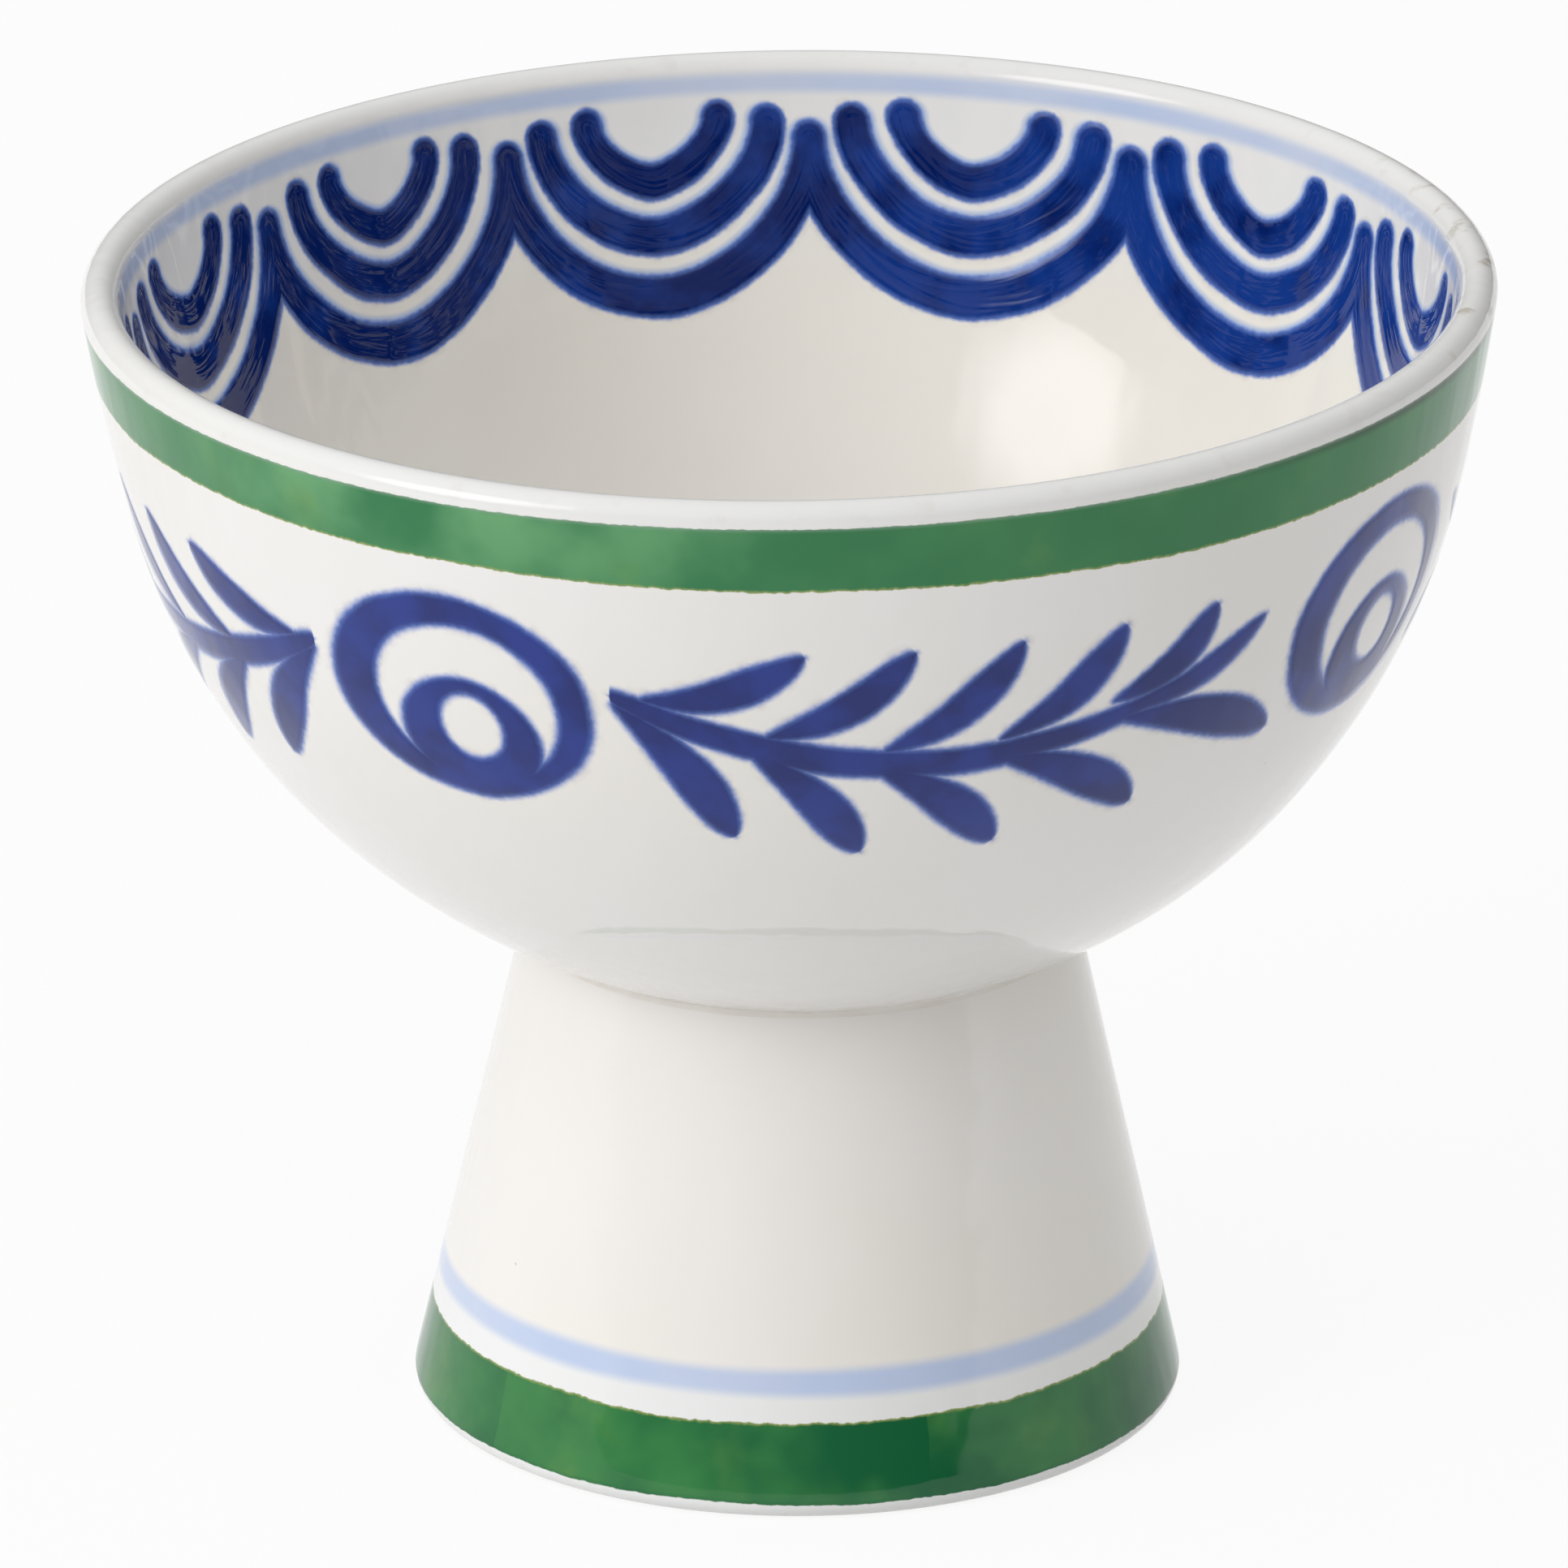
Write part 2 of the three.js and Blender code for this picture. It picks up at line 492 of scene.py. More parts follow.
# %% [markdown]
# ## From a section to a piece
# A modifier keeps its node tree live, which an export may drop. So each piece's inputs are set, the
# tree is evaluated once, and the result becomes a plain mesh. Edges that turn sharply are marked, so
# that smooth shading doesn't smear the light round them.

# %% Turn a section into a plain mesh
TURNS = 256
LEAN = math.radians(0.6)
SWAY = 0.018
DRIFT = 0.007
SHARP_EDGE = math.radians(40)


def section_mesh(name, section, zero):
    """A section's points in a row; run is counted from point number zero, and falls along it."""
    steps = [(b - a).length for a, b in itertools.pairwise(section)]
    run = np.concatenate([[0], np.cumsum(steps)])
    mesh = bpy.data.meshes.new(name)
    edges = list(itertools.pairwise(range(len(section))))
    mesh.from_pydata([(p.x, 0, p.y) for p in section], edges, [])
    mesh.attributes.new("run", "FLOAT", "POINT").data.foreach_set("value", run[zero] - run)
    return mesh


def turned(name, section, zero, glaze, strips):
    mesh = section_mesh(name, section, zero)
    piece = bpy.data.objects.new(name, mesh)
    bpy.context.scene.collection.objects.link(piece)
    modifier = piece.modifiers.new("wheel", "NODES")
    modifier.node_group = wheel_tree
    modifier[wheel_inputs["Turns"]] = TURNS
    modifier[wheel_inputs["Joint Height"]] = seat_outer.y
    modifier[wheel_inputs["Lean"]] = LEAN
    modifier[wheel_inputs["Sway"]] = SWAY
    modifier[wheel_inputs["Drift"]] = DRIFT
    modifier[wheel_inputs["Glaze"]] = glaze
    depsgraph = bpy.context.evaluated_depsgraph_get()
    piece.data = bpy.data.meshes.new_from_object(
        piece.evaluated_get(depsgraph),
        preserve_all_data_layers=True,
        depsgraph=depsgraph,
    )
    piece.modifiers.remove(modifier)
    bpy.data.meshes.remove(mesh)
    piece.data.set_sharp_from_angle(angle=SHARP_EDGE)
    laid_out(piece.data, strips)
    print(name, len(piece.data.vertices), "points,", len(piece.data.polygons), "faces")
    return piece


# %% [markdown]
# ## Where paint goes
# The decorator thinks in two measures: how far round the bowl, and how far down from the rim. Both
# come from the marks that the wheel left on the clay, so the paint follows the wall's curve and the
# bowl's lean, and nothing stretches. Object coordinates serve for what has no direction, the noise.

# %% The decorator's measures
DEGREE = math.radians(1)


def finish(name):
    material = bpy.data.materials.new(name)
    material.use_nodes = True
    material.node_tree.nodes.clear()
    return material, Nodes(material.node_tree)


def measures(paint):
    """Object coordinates, degrees round from the front, and mm along the section from its zero."""
    place = paint.node("ShaderNodeTexCoord", output="Object")
    around = paint.node("ShaderNodeAttribute", {"attribute_name": "round"}, output="Vector")
    right = paint.separate(around)
    degrees = right.math("ARCTAN2", -right.out("Y")) / DEGREE
    run = paint.node("ShaderNodeAttribute", {"attribute_name": "run"}, output="Fac") / MM
    return place, degrees, run


print("decorator's measures are ready")

# %% [markdown]
# ## A hand that is never quite steady
# Hand painting wanders. A noise texture gives that, and the same noise at other scales gives clouds,
# pools and streaks of colour. Scales here are counts of features in a metre: at 100, a feature is
# about a centimetre wide.

# %% Noise and wobble
HAND_WOBBLE = 0.6
WOBBLE_SCALE = 130.0


def noise(paint, place, scale, detail=2.0, output="Fac"):
    sockets = {"Vector": place, "Scale": scale, "Detail": detail}
    return paint.node("ShaderNodeTexNoise", {}, sockets, output)


def unsteady(paint, place, scale, reach, detail=2.0):
    """A length that wanders by up to reach to either side."""
    return noise(paint, place, scale, detail) * (2 * reach) - reach


def patches(paint, place, scale, detail, start, full, more=None):
    """A mask of soft patches, which start at one level of the noise and are full at another."""
    level = noise(paint, place, scale, detail)
    level = level + more if more else level
    return level.smooth(start, full)


def on_wall(paint, across, down, place):
    """A point on the unrolled wall in mm, moved a little by the painter's hand."""
    flat = paint.combine(X=across, Y=down)
    hand = noise(paint, place, WOBBLE_SCALE, 1.0, "Color").vector("SUBTRACT", (0.5, 0.5, 0.5))
    return flat.vector("ADD", hand.vector("MULTIPLY", (HAND_WOBBLE, HAND_WOBBLE, 0)))


print(f"a stroke wanders by {HAND_WOBBLE / 2} mm")

# %% [markdown]
# ## Brush marks as depths
# A pattern could be painted into an image, but its edge would blur close up. Here each mark is a
# formula that gives the depth of a point inside the mark: positive inside, negative outside, in
# millimetres. The larger of two depths joins two marks, and the smaller of a depth and another's
# negative cuts one mark out of another.

# %% Leaf and ellipse
LEAF_BASE = 0.15
LEAF_ROUNDNESS = 0.5


def joined(*depths):
    return depths[0] if len(depths) == 1 else depths[0].math("MAXIMUM", joined(*depths[1:]))


def cut(depth, hole):
    return depth.math("MINIMUM", -hole)


def leaf(p, base, tip, half_width, bow, reach):
    """One press of a round brush from base to tip, widest nearer the tip with more reach."""
    chord = tip - base
    along = chord.normalized()
    from_base = p.vector("SUBTRACT", (*base, 0))
    x = from_base.dot((*along, 0))
    y = from_base.dot((-along.y, along.x, 0))
    t = x.math("DIVIDE", chord.length, clamp=True)
    past = x - t * chord.length
    aside = y - t * (1 - t) * (4 * bow)
    swell = (t.math("POWER", reach) * math.pi).math("SINE").math("POWER", LEAF_ROUNDNESS)
    half = (swell + (1 - t) * LEAF_BASE) * half_width
    return half - (past * past + aside * aside).math("SQRT")


def ellipse(p, centre, across, down):
    scaled = p.vector("SUBTRACT", (*centre, 0)).vector("DIVIDE", (across, down, 1))
    return (1 - scaled.length()) * min(across, down)


print("marks are measured in mm")

# %% [markdown]
# ## The leafy sprays
# A spray is a bent stem with leaves above and below it. The stem could be a curve laid on the wall,
# but as a mark it has to bleed and pool as the leaves do. So it is a formula too: a parabola, thick
# where the brush comes down and drawn out to a point.

# %% The stem
MM_PER_DEGREE = 1.16
STEM_START = 14.5
STEM_END = 73.0
STEM_MIDDLE = 42.5
STEM_DEPTH = 27.3
STEM_CURVE = 0.0102
STEM_HALF = 2.8
STEM_SWELL = 0.2
STEM_TAPER = 0.5


def stem_down(degrees):
    off_middle = degrees - STEM_MIDDLE
    return STEM_DEPTH - off_middle * off_middle * STEM_CURVE


def stem(p, paint):
    across = paint.separate(p)
    length = (STEM_END - STEM_START) * MM_PER_DEGREE
    x = across - STEM_START * MM_PER_DEGREE
    t = x.math("DIVIDE", length, clamp=True)
    half = t.math("POWER", STEM_SWELL) * (1 - t).math("POWER", STEM_TAPER) * STEM_HALF
    aside = across.out("Y") - stem_down(across / MM_PER_DEGREE)
    return half - abs(aside) - abs(x - t * length)


print(f"stem: {STEM_END - STEM_START} degrees long")

# %% [markdown]
# ## The leaves
# Each leaf is one press of the brush. Leaves could be drawn one by one, but they follow a rule. Each
# starts a step further along the stem. The upper ones get shorter and end on one line, the lower
# ones spread out and reach less far down, and one more leaf ends the spray. Places are degrees along
# and millimetres down.

# %% The leaves of a spray
LEAVES = 5
UPPER_FIRST, UPPER_STEP = 18.1, 10.25
UPPER_ROOT = (-1.0, -1.7)
UPPER_LENGTH, UPPER_SHORTENING = 12.8, 1.1
UPPER_LINE = 14.2
UPPER_PRESS = {"half_width": 1.95, "bow": 1.6, "reach": 1.4}
LOWER_FIRST, LOWER_STEP = 15.2, 11.0
LOWER_ROOT = (-0.4, 0.6)
LOWER_LENGTH, LOWER_SPREAD = 9.1, 0.53
LOWER_DROP, LOWER_LIFT = 16.0, 2.4
LOWER_PRESS = {"half_width": 2.4, "bow": -1.2, "reach": 1.6}
LAST_LEAF = ((59.0, 24.6), (73.2, 17.0))
LAST_PRESS = {"half_width": 1.45, "bow": 1.2, "reach": 1.4}


def wall(degrees, down):
    return Vector((degrees * MM_PER_DEGREE, down))


def upper_leaf(p, i):
    base = UPPER_FIRST + UPPER_STEP * i
    start = wall(base + UPPER_ROOT[0], stem_down(base) + UPPER_ROOT[1])
    tip = wall(base + UPPER_LENGTH - UPPER_SHORTENING * i, UPPER_LINE)
    return leaf(p, start, tip, **UPPER_PRESS)


def lower_leaf(p, i):
    base = LOWER_FIRST + LOWER_STEP * i
    start = wall(base + LOWER_ROOT[0], stem_down(base) + LOWER_ROOT[1])
    tip = wall(base + LOWER_LENGTH + LOWER_SPREAD * i**2, start.y + LOWER_DROP - LOWER_LIFT * i)
    return leaf(p, start, tip, **LOWER_PRESS)


def spray(p, paint):
    start, tip = LAST_LEAF
    last_leaf = leaf(p, wall(*start), wall(*tip), **LAST_PRESS)
    upper = [upper_leaf(p, i) for i in range(LEAVES)]
    lower = [lower_leaf(p, i) for i in range(LEAVES)]
    return joined(stem(p, paint), last_leaf, *upper, *lower)


print("a spray has", 2 * LEAVES + 1, "leaves")

# %% [markdown]
# ## The roundels
# A roundel is a thick ring with a smaller ring that sits low inside it, both a little off centre as
# a turning hand leaves them. A stroke along a circle would have an even width. An ellipse cut out of
# another, a little off centre, gives the uneven width of a brushed ring at once.

# %% One roundel
# Each ellipse is its centre, across and down, and its two half widths, all in mm.
RING_OUTER = ((0, 22.2), 14.8, 11.9)
RING_FIELD = ((0.8, 22.7), 10.2, 9.0)
SMALL_RING = ((0.9, 26.9), 8.0, 7.3)
SMALL_HOLE = ((1.3, 25.3), 3.4, 3.75)


def roundel(p):
    ring = cut(ellipse(p, *RING_OUTER), ellipse(p, *RING_FIELD))
    return cut(joined(ring, ellipse(p, *SMALL_RING)), ellipse(p, *SMALL_HOLE))


print(f"a roundel is {2 * RING_OUTER[1]} mm wide")

# %% [markdown]
# ## The scalloped border
# Inside the bowl hang twelve scallops, each of three nested hoops. A hoop is close to a half circle,
# so its depth is half the brush's width less the distance from that circle, with round ends. The
# same hoop moved a little towards the rim serves for the glow that thick cobalt leaves there.

# %% One hoop
BRUSH_LIFT = 0.2
GLOW_SHIFT = 0.45


def hoop(across, down, radius, top, drop, half, power):
    """A hanging hoop, with ends a radius off the middle at top and its lowest point drop below.

    Gives the stroke's depth, and the depth of the same stroke moved a little towards the rim.
    """
    below = down - top
    rise = (-below).math("MAXIMUM", 0.0)
    t = below.math("DIVIDE", drop, clamp=True)
    y = below.math("MAXIMUM", 0.0) / drop
    x = across / radius
    ring = (x.math("POWER", power) + y.math("POWER", power)).math("POWER", 1 / power) - 1
    off = ring * (t * (drop - radius) + radius)
    moved = off + GLOW_SHIFT
    width = half + t * BRUSH_LIFT
    return tuple(width - (side * side + rise * rise).math("SQRT") for side in (off, moved))


print("a hoop gives its depth and its glow's depth")

# %% [markdown]
# ## The twelve scallops
# The painter steps the scallops off by eye, so the angle runs a little fast and slow by turns. Each
# could be drawn in its own place, but a ping-pong folds the wall at every scallop, so that half of
# one is drawn and all appear. White noise gives each its own looseness, the same at every run.

# %% The border
SCALLOPS = 12
INSIDE_MM_PER_DEGREE = 1.126
HALF_SPAN = 180 / SCALLOPS * INSIDE_MM_PER_DEGREE
OVERLAP = 0.2
LOOSE_HAND = 0.14
# Each hoop is its radius, top, drop and half width in mm, and the power of its bend.
OUTER_HOOP = (HALF_SPAN + OVERLAP, 6.8, 15.8, 2.05, 1.85)
MIDDLE_HOOP = (12.8, 5.1, 11.2, 1.95, 1.75)
INNER_HOOP = (7.4, 4.5, 6.2, 1.85, 1.6)
# Each swing is how far the eye is out, and the angle it starts from, both in degrees.
SWING_ONCE_ROUND = (2.2, 170)
SWING_THRICE_ROUND = (1.4, 122)


def spaced_by_eye(degrees):
    once, once_start = SWING_ONCE_ROUND
    thrice, thrice_start = SWING_THRICE_ROUND
    slow = ((degrees - once_start) * DEGREE).math("SINE") * once
    fast = ((degrees - thrice_start) * (3 * DEGREE)).math("COSINE") * thrice
    return degrees + slow + fast


def scallops(p, paint):
    x = paint.separate(p)
    across = HALF_SPAN - x.math("PINGPONG", HALF_SPAN)
    which = (x / (2 * HALF_SPAN)).math("FLOOR").math("FLOORED_MODULO", SCALLOPS) - SCALLOPS
    chance = paint.node("ShaderNodeTexWhiteNoise", {"noise_dimensions": "1D"}, {"W": which}, "Value")
    loose = across * (chance * LOOSE_HAND + 1)
    down = x.out("Y")
    hoops = (
        hoop(across, down, *OUTER_HOOP),
        hoop(loose, down, *MIDDLE_HOOP),
        hoop(loose, down, *INNER_HOOP),
    )
    return [joined(*depths) for depths in zip(*hoops)]


print(f"{SCALLOPS} scallops, each {2 * HALF_SPAN:.1f} mm wide")

# %% [markdown]
# ## White glaze
# White glaze is never one white: it has warm clouds and, here and there, a dark speck of iron. It is
# whiter outside and warmer inside. Colours are written as sRGB values, as a picture editor shows
# them, and turned to the linear values that a shader works with.

# %% Bare glaze
# Patches are their scale and detail, and the levels of the noise where they start and are full.
CLOUDS = (22.0, 3.0, 0.35, 0.7)
SPECK_SCALE = 90.0
SPECK_EDGE = (0.010, 0.022)
SPECK_STRENGTH = 0.7


def colour(red, green, blue):
    def linear(value):
        value /= 255
        return value / 12.92 if value <= 0.04045 else ((value + 0.055) / 1.055) ** 2.4

    return (linear(red), linear(green), linear(blue), 1)


OUTSIDE_WHITES = (colour(236, 234, 232), colour(234, 231, 226))
INSIDE_WHITES = (colour(240, 237, 229), colour(238, 233, 224))
FOOT_WHITES = (colour(238, 235, 231), colour(235, 231, 224))
COOL_GLAZE = colour(234, 237, 239)
SPECK = colour(126, 116, 104)


def bare_glaze(paint, place, whites):
    glaze = paint.mix(patches(paint, place, *CLOUDS), *whites)
    sockets = {"Vector": place, "Scale": SPECK_SCALE}
    from_speck = paint.node("ShaderNodeTexVoronoi", {}, sockets, "Distance")
    return paint.mix((1 - from_speck.smooth(*SPECK_EDGE)) * SPECK_STRENGTH, glaze, SPECK)


print("three pairs of whites are mixed")

# %% [markdown]
# ## Cobalt
# Cobalt bleeds a little into the glaze, so a mark has a pale blue edge and a deep middle, and it
# pools darker here and there. A faint grey painted shadow lies just outside it, for the paint's shade
# in the glaze. One flat blue would look printed; three blues over a noisy edge look brushed.

# %% Blue marks
COBALT_BLEED = colour(98, 130, 204)
# The grey of the painted shadow that rings each blue mark, for the shade the paint casts through the
# glaze.
PAINT_SHADOW = colour(200, 195, 190)
PAINT_SHADOW_WIDTH, PAINT_SHADOW_STRENGTH = 0.5, 0.3
DEEP_FROM = 0.65
# An unsteady edge is the scale of its noise and how far it wanders in mm.
RAGGED = (1400.0, 0.15)
POOLS = (150.0, 3.0, 0.35, 0.65)
GRAIN = (500.0, 2.0, 0.4, 0.7)


def cobalt(paint, under, depth, place, pigments, edge, side_shade=None):
    """Lays cobalt over a colour where the depth is positive; edge is the soft edge in mm.

    Where a painted side shade is given, more of the darker of the two pigments is mixed in.
    """
    depth = depth + unsteady(paint, place, *RAGGED)
    deep = paint.mix(patches(paint, place, *POOLS, side_shade), *pigments)
    body = paint.mix(depth.smooth(-0.65 * edge, DEEP_FROM), COBALT_BLEED, deep)
    # Painted shadow: a faint grey ring just outside the mark, where the paint's shade falls in the
    # glaze.
    shadow_ring = depth.smooth(-edge - PAINT_SHADOW_WIDTH, -0.7 * edge) * patches(paint, place, *GRAIN)
    shadowed = paint.mix(shadow_ring * PAINT_SHADOW_STRENGTH, under, PAINT_SHADOW)
    return paint.mix(depth.smooth(-edge, 0.3 * edge), shadowed, body)


print("a blue mark is full", DEEP_FROM, "mm inside its edge")

# %% [markdown]
# ## Pale lines
# A thin line runs round the inside and round the foot. It is cobalt let down with water, so it is
# soft on both sides and paler where the brush hurried. It could be a mark as the others are, but
# thin paint neither pools nor bleeds, so it is simpler.

# %% A pale line
PALE_BLUE = colour(190, 204, 232)
LINE_WAVE = (30.0, 0.25, 1.0)
LINE_EDGE = (-0.6, 0.7)
WASH = (35.0, 3.0, 0.2, 0.6)
WASH_CHANGE = 0.3


def pale_line(paint, under, down, start, end, place):
    depth = (down - start).math("MINIMUM", end - down)
    depth = depth + unsteady(paint, place, *LINE_WAVE)
    wash = patches(paint, place, *WASH) * WASH_CHANGE + (1 - WASH_CHANGE)
    return paint.mix(depth.smooth(*LINE_EDGE) * wash, under, PALE_BLUE)


print("a line's wash changes by", WASH_CHANGE)

# %% [markdown]
# ## Copper green
# The bands are brushed on while the pot turns. Copper green is streaky, darker where the brush was
# full and paler where it ran dry, and it fires to ochre where it thins out at its far edge. One
# green with a noisy brightness would be quicker, but each of these changes has its own colour.

# %% A green band
GREEN_STREAK = colour(100, 144, 68)
OCHRE = colour(146, 160, 92)
BRISTLED = (1100.0, 0.25)
WORN = (16.0, 1.0, 0.45, 0.75)
WET = (75.0, 3.0, 0.25, 0.65)
STREAKS = (110.0, 4.0, 0.5, 0.8)
STREAK_STRENGTH = 0.6
START_RAGGED = 0.6
OCHRE_WIDTH, FRESH_WIDTH, FRESH_STRENGTH = 0.35, 0.5, 0.5
BAND_EDGE = (-0.06, 0.08)


def band(paint, under, from_start, from_end, place, load_used, greens):
    """A brushed band; the two lengths are the distances in mm from its edges, positive inside."""
    fresh, dry, thin = greens
    ragged = unsteady(paint, place, *BRISTLED)
    from_end = from_end + ragged
    from_start = from_start + ragged * START_RAGGED
    wet = patches(paint, place, *WET, -load_used)
    streak = patches(paint, place, *STREAKS) * (1 - wet)
    green = paint.mix(wet, paint.mix(patches(paint, place, *WORN), dry, thin), fresh)
    green = paint.mix(streak * STREAK_STRENGTH, green, GREEN_STREAK)
    body = paint.mix(from_end.smooth(0.0, OCHRE_WIDTH), OCHRE, green)
    past_start = from_start.smooth(0.0, FRESH_WIDTH) * FRESH_STRENGTH + (1 - FRESH_STRENGTH)
    body = paint.mix(past_start, fresh, body)
    return paint.mix(from_start.math("MINIMUM", from_end).smooth(*BAND_EDGE), under, body)


print("a band's ochre edge is", OCHRE_WIDTH, "mm wide")

# %% [markdown]
# ## The fired gloss
# Fired glaze is glass, so one Principled shader with a low roughness does, and its IOR is that of a
# soft glaze. A poured glaze isn't flat: it has faint waves and downward runs, and thick paint stands
# up a little under it. A Bump node gives those, because they are far thinner than the mesh's faces.

# %% Gloss over a colour
GLAZE_IOR = 1.42
WAVES, RUNS = 0.8, 0.6
WAVES_SCALE, RUNS_SCALE, SHINE_SCALE = 60.0, 260.0, 90.0
RUNS_STRETCH = (1, 1, 0.2)
BUMP = {"Strength": 0.12, "Distance": 1 * MM}
ROUGHNESS, ROUGHNESS_SPREAD = 0.02, 0.03


def fired(paint, base, place, relief=None, dull=None):
    """A clear gloss over a colour; relief raises the surface, and dull takes the shine off."""
    runs = noise(paint, place.vector("MULTIPLY", RUNS_STRETCH), RUNS_SCALE, 1.0)
    height = noise(paint, place, WAVES_SCALE) * WAVES + runs * RUNS
    height = height + relief if relief else height
    bump = paint.node("ShaderNodeBump", {}, {**BUMP, "Height": height})
    rough = noise(paint, place, SHINE_SCALE) * ROUGHNESS_SPREAD + ROUGHNESS
    rough = rough + dull if dull else rough
    sockets = {"Base Color": base, "Roughness": rough, "Normal": bump, "IOR": GLAZE_IOR}
    shader = paint.node("ShaderNodeBsdfPrincipled", {}, sockets)
    paint.node("ShaderNodeOutputMaterial", {}, {"Surface": shader})


print("gloss with an IOR of", GLAZE_IOR)

# %% [markdown]
# ## The band under the lip
# The rim's band is a little wider on the right, and there its colour ran up to the lip and pooled in
# a dark edge. A second dark line could be laid over the band, but the same wandering edge serves for
# both, so that they never part.

# %% Rim band
RIM_GREENS = (colour(40, 118, 69), colour(54, 128, 75), colour(104, 164, 112))
RIM_BAND, RIM_BAND_SWELL = 6.9, 0.7
RIM_WANDER, RIM_TOP_WANDER = (45.0, 0.4), 0.3
RIM_LOAD_USED = 0.02
POOLED_GREEN = colour(10, 62, 34)
POOLED_STRENGTH = 0.9
POOLED_FROM, POOLED_TO = (-0.1, 0.1), (0.3, 1.3)
POOLED_SIDE = (0.5, 0.9)


def rim_band(paint, base, place, down, to_right):
    wander = unsteady(paint, place, *RIM_WANDER)
    from_top = down + wander * RIM_TOP_WANDER
    from_bottom = to_right * RIM_BAND_SWELL + RIM_BAND + wander - down
    base = band(paint, base, from_top, from_bottom, place, RIM_LOAD_USED, RIM_GREENS)
    pooled = from_top.smooth(*POOLED_FROM) * (1 - from_top.smooth(*POOLED_TO))
    pooled = pooled * to_right.smooth(*POOLED_SIDE)
    return paint.mix(pooled * POOLED_STRENGTH, base, POOLED_GREEN)


print("the rim's band is", RIM_BAND, "mm wide")

# %% [markdown]
# ## The blue outside
# Two sprays grow away from one roundel and meet the next with their leafy ends, so half a turn holds
# the whole pattern, mirrored about its roundels. Each spray could be placed by hand, but folding the
# angle back and forth with a ping-pong means that one spray is drawn and four appear.

# %% Sprays and roundels
ROUNDEL_ANGLE = -29.8
ROUNDEL_STEP = 90.0


def outside_marks(paint, place, degrees, down):
    from_roundel = degrees - ROUNDEL_ANGLE
    half_step = ROUNDEL_STEP / 2
    spray_across = from_roundel.math("PINGPONG", ROUNDEL_STEP) * MM_PER_DEGREE
    roundel_across = from_roundel.math("WRAP", half_step, -half_step) * MM_PER_DEGREE
    at_spray = on_wall(paint, spray_across, down, place)
    at_roundel = on_wall(paint, roundel_across, down, place)
    return joined(spray(at_spray, paint), roundel(at_roundel))


print(f"a roundel faces {-ROUNDEL_ANGLE} degrees to the left of the front")

# %% [markdown]
# ## The lip
# Glaze runs thin over the lip, so it is greyer there, and use leaves scuffs, most of them on one
# side. Wear is often found from how sharply an edge bends. Here the run along the section already
# says where the lip is. Just inside it the glaze is cooler, and further down it turns warm.

# %% Worn lip
LIP_GLAZE = colour(226, 226, 224)
LIP_STRENGTH, COOL_STRENGTH = 0.8, 0.3
SCUFF = colour(186, 178, 164)
SCUFFS = (330.0, 4.0, 0.56, 0.72)
HANDLED_SIDE, HANDLED, UNHANDLED = (0.8, 1.0), 0.7, 0.1
# Spans along the inside in mm, from where a change starts to where it is full.
LIP_FROM, LIP_TO = (-6.5, -5.0), (-1.5, 0.5)
COOL_FROM, WARM_FROM = (-1.0, 0.5), (8.0, 22.0)


def worn_lip(paint, base, place, inside, to_right):
    on_lip = inside.smooth(*LIP_FROM) * (1 - inside.smooth(*LIP_TO))
    base = paint.mix(on_lip * LIP_STRENGTH, base, LIP_GLAZE)
    handled = to_right.smooth(*HANDLED_SIDE) * HANDLED + UNHANDLED
    scuffs = patches(paint, place, *SCUFFS) * handled
    base = paint.mix(on_lip * scuffs, base, SCUFF)
    near_rim = inside.smooth(*COOL_FROM) * (1 - inside.smooth(*WARM_FROM))
    return paint.mix(near_rim * COOL_STRENGTH, base, COOL_GLAZE)


lip_length = math.pi * lip_radius
print(f"the lip is {lip_length / MM:.1f} mm round")

# %% [markdown]
# ## The blue inside
# A pale line runs under the lip, and the scallops hang below it in thick cobalt, with painted shade
# that darkens it to the left and lightens it to the right. Thick cobalt glows pale blue on the side
# towards the rim, where it thins out, and bristles leave fine ridges along each stroke. Ridges could
# be stretched noise, but that has one direction. Noise that is read off by the depth in the stroke
# follows every bend.

# %% Line, scallops and bristle marks
THICK_COBALT = (colour(18, 55, 136), colour(2, 28, 94))
HOOP_EDGE = 0.4
COBALT_GLOW = colour(158, 184, 228)
GLOW_EDGE, GLOW_STRENGTH = (-0.5, 0.3), 0.8
INSIDE_LINE = (0.0, 2.1)
CUSP_ANGLE = 177.2
SIDE_SHADE_SHIFT, SIDE_SHADE_MIDDLE = 0.16, 0.15
BRISTLES = 0.8
BRISTLE_EDGE = (0.0, 0.5)
ACROSS_STROKE, ALONG_STROKE = 0.8, (70, 70, 70)


def inside_border(paint, base, place, inside, degrees, to_right):
    """The pale line and the scallops; gives the colour and the hoops' depth."""
    base = pale_line(paint, base, inside, *INSIDE_LINE, place)
    by_eye = spaced_by_eye(degrees) - CUSP_ANGLE
    hoops, glow = scallops(on_wall(paint, by_eye * INSIDE_MM_PER_DEGREE, inside, place), paint)
    base = paint.mix(glow.smooth(*GLOW_EDGE) * GLOW_STRENGTH, base, COBALT_GLOW)
    # Painted shade: the thick cobalt darkens towards the left, where the inside lies in shade, and
    # lightens towards the right.
    side_shade = (SIDE_SHADE_MIDDLE - to_right) * SIDE_SHADE_SHIFT
    return cobalt(paint, base, hoops, place, THICK_COBALT, HOOP_EDGE, side_shade), hoops


def bristle_marks(paint, place, hoops):
    across = paint.combine(X=hoops * ACROSS_STROKE)
    ridges = noise(paint, place.vector("MULTIPLY", ALONG_STROKE).vector("ADD", across), 1.0)
    return ridges * hoops.smooth(*BRISTLE_EDGE) * BRISTLES


print("the inside line is", INSIDE_LINE[1] - INSIDE_LINE[0], "mm wide")

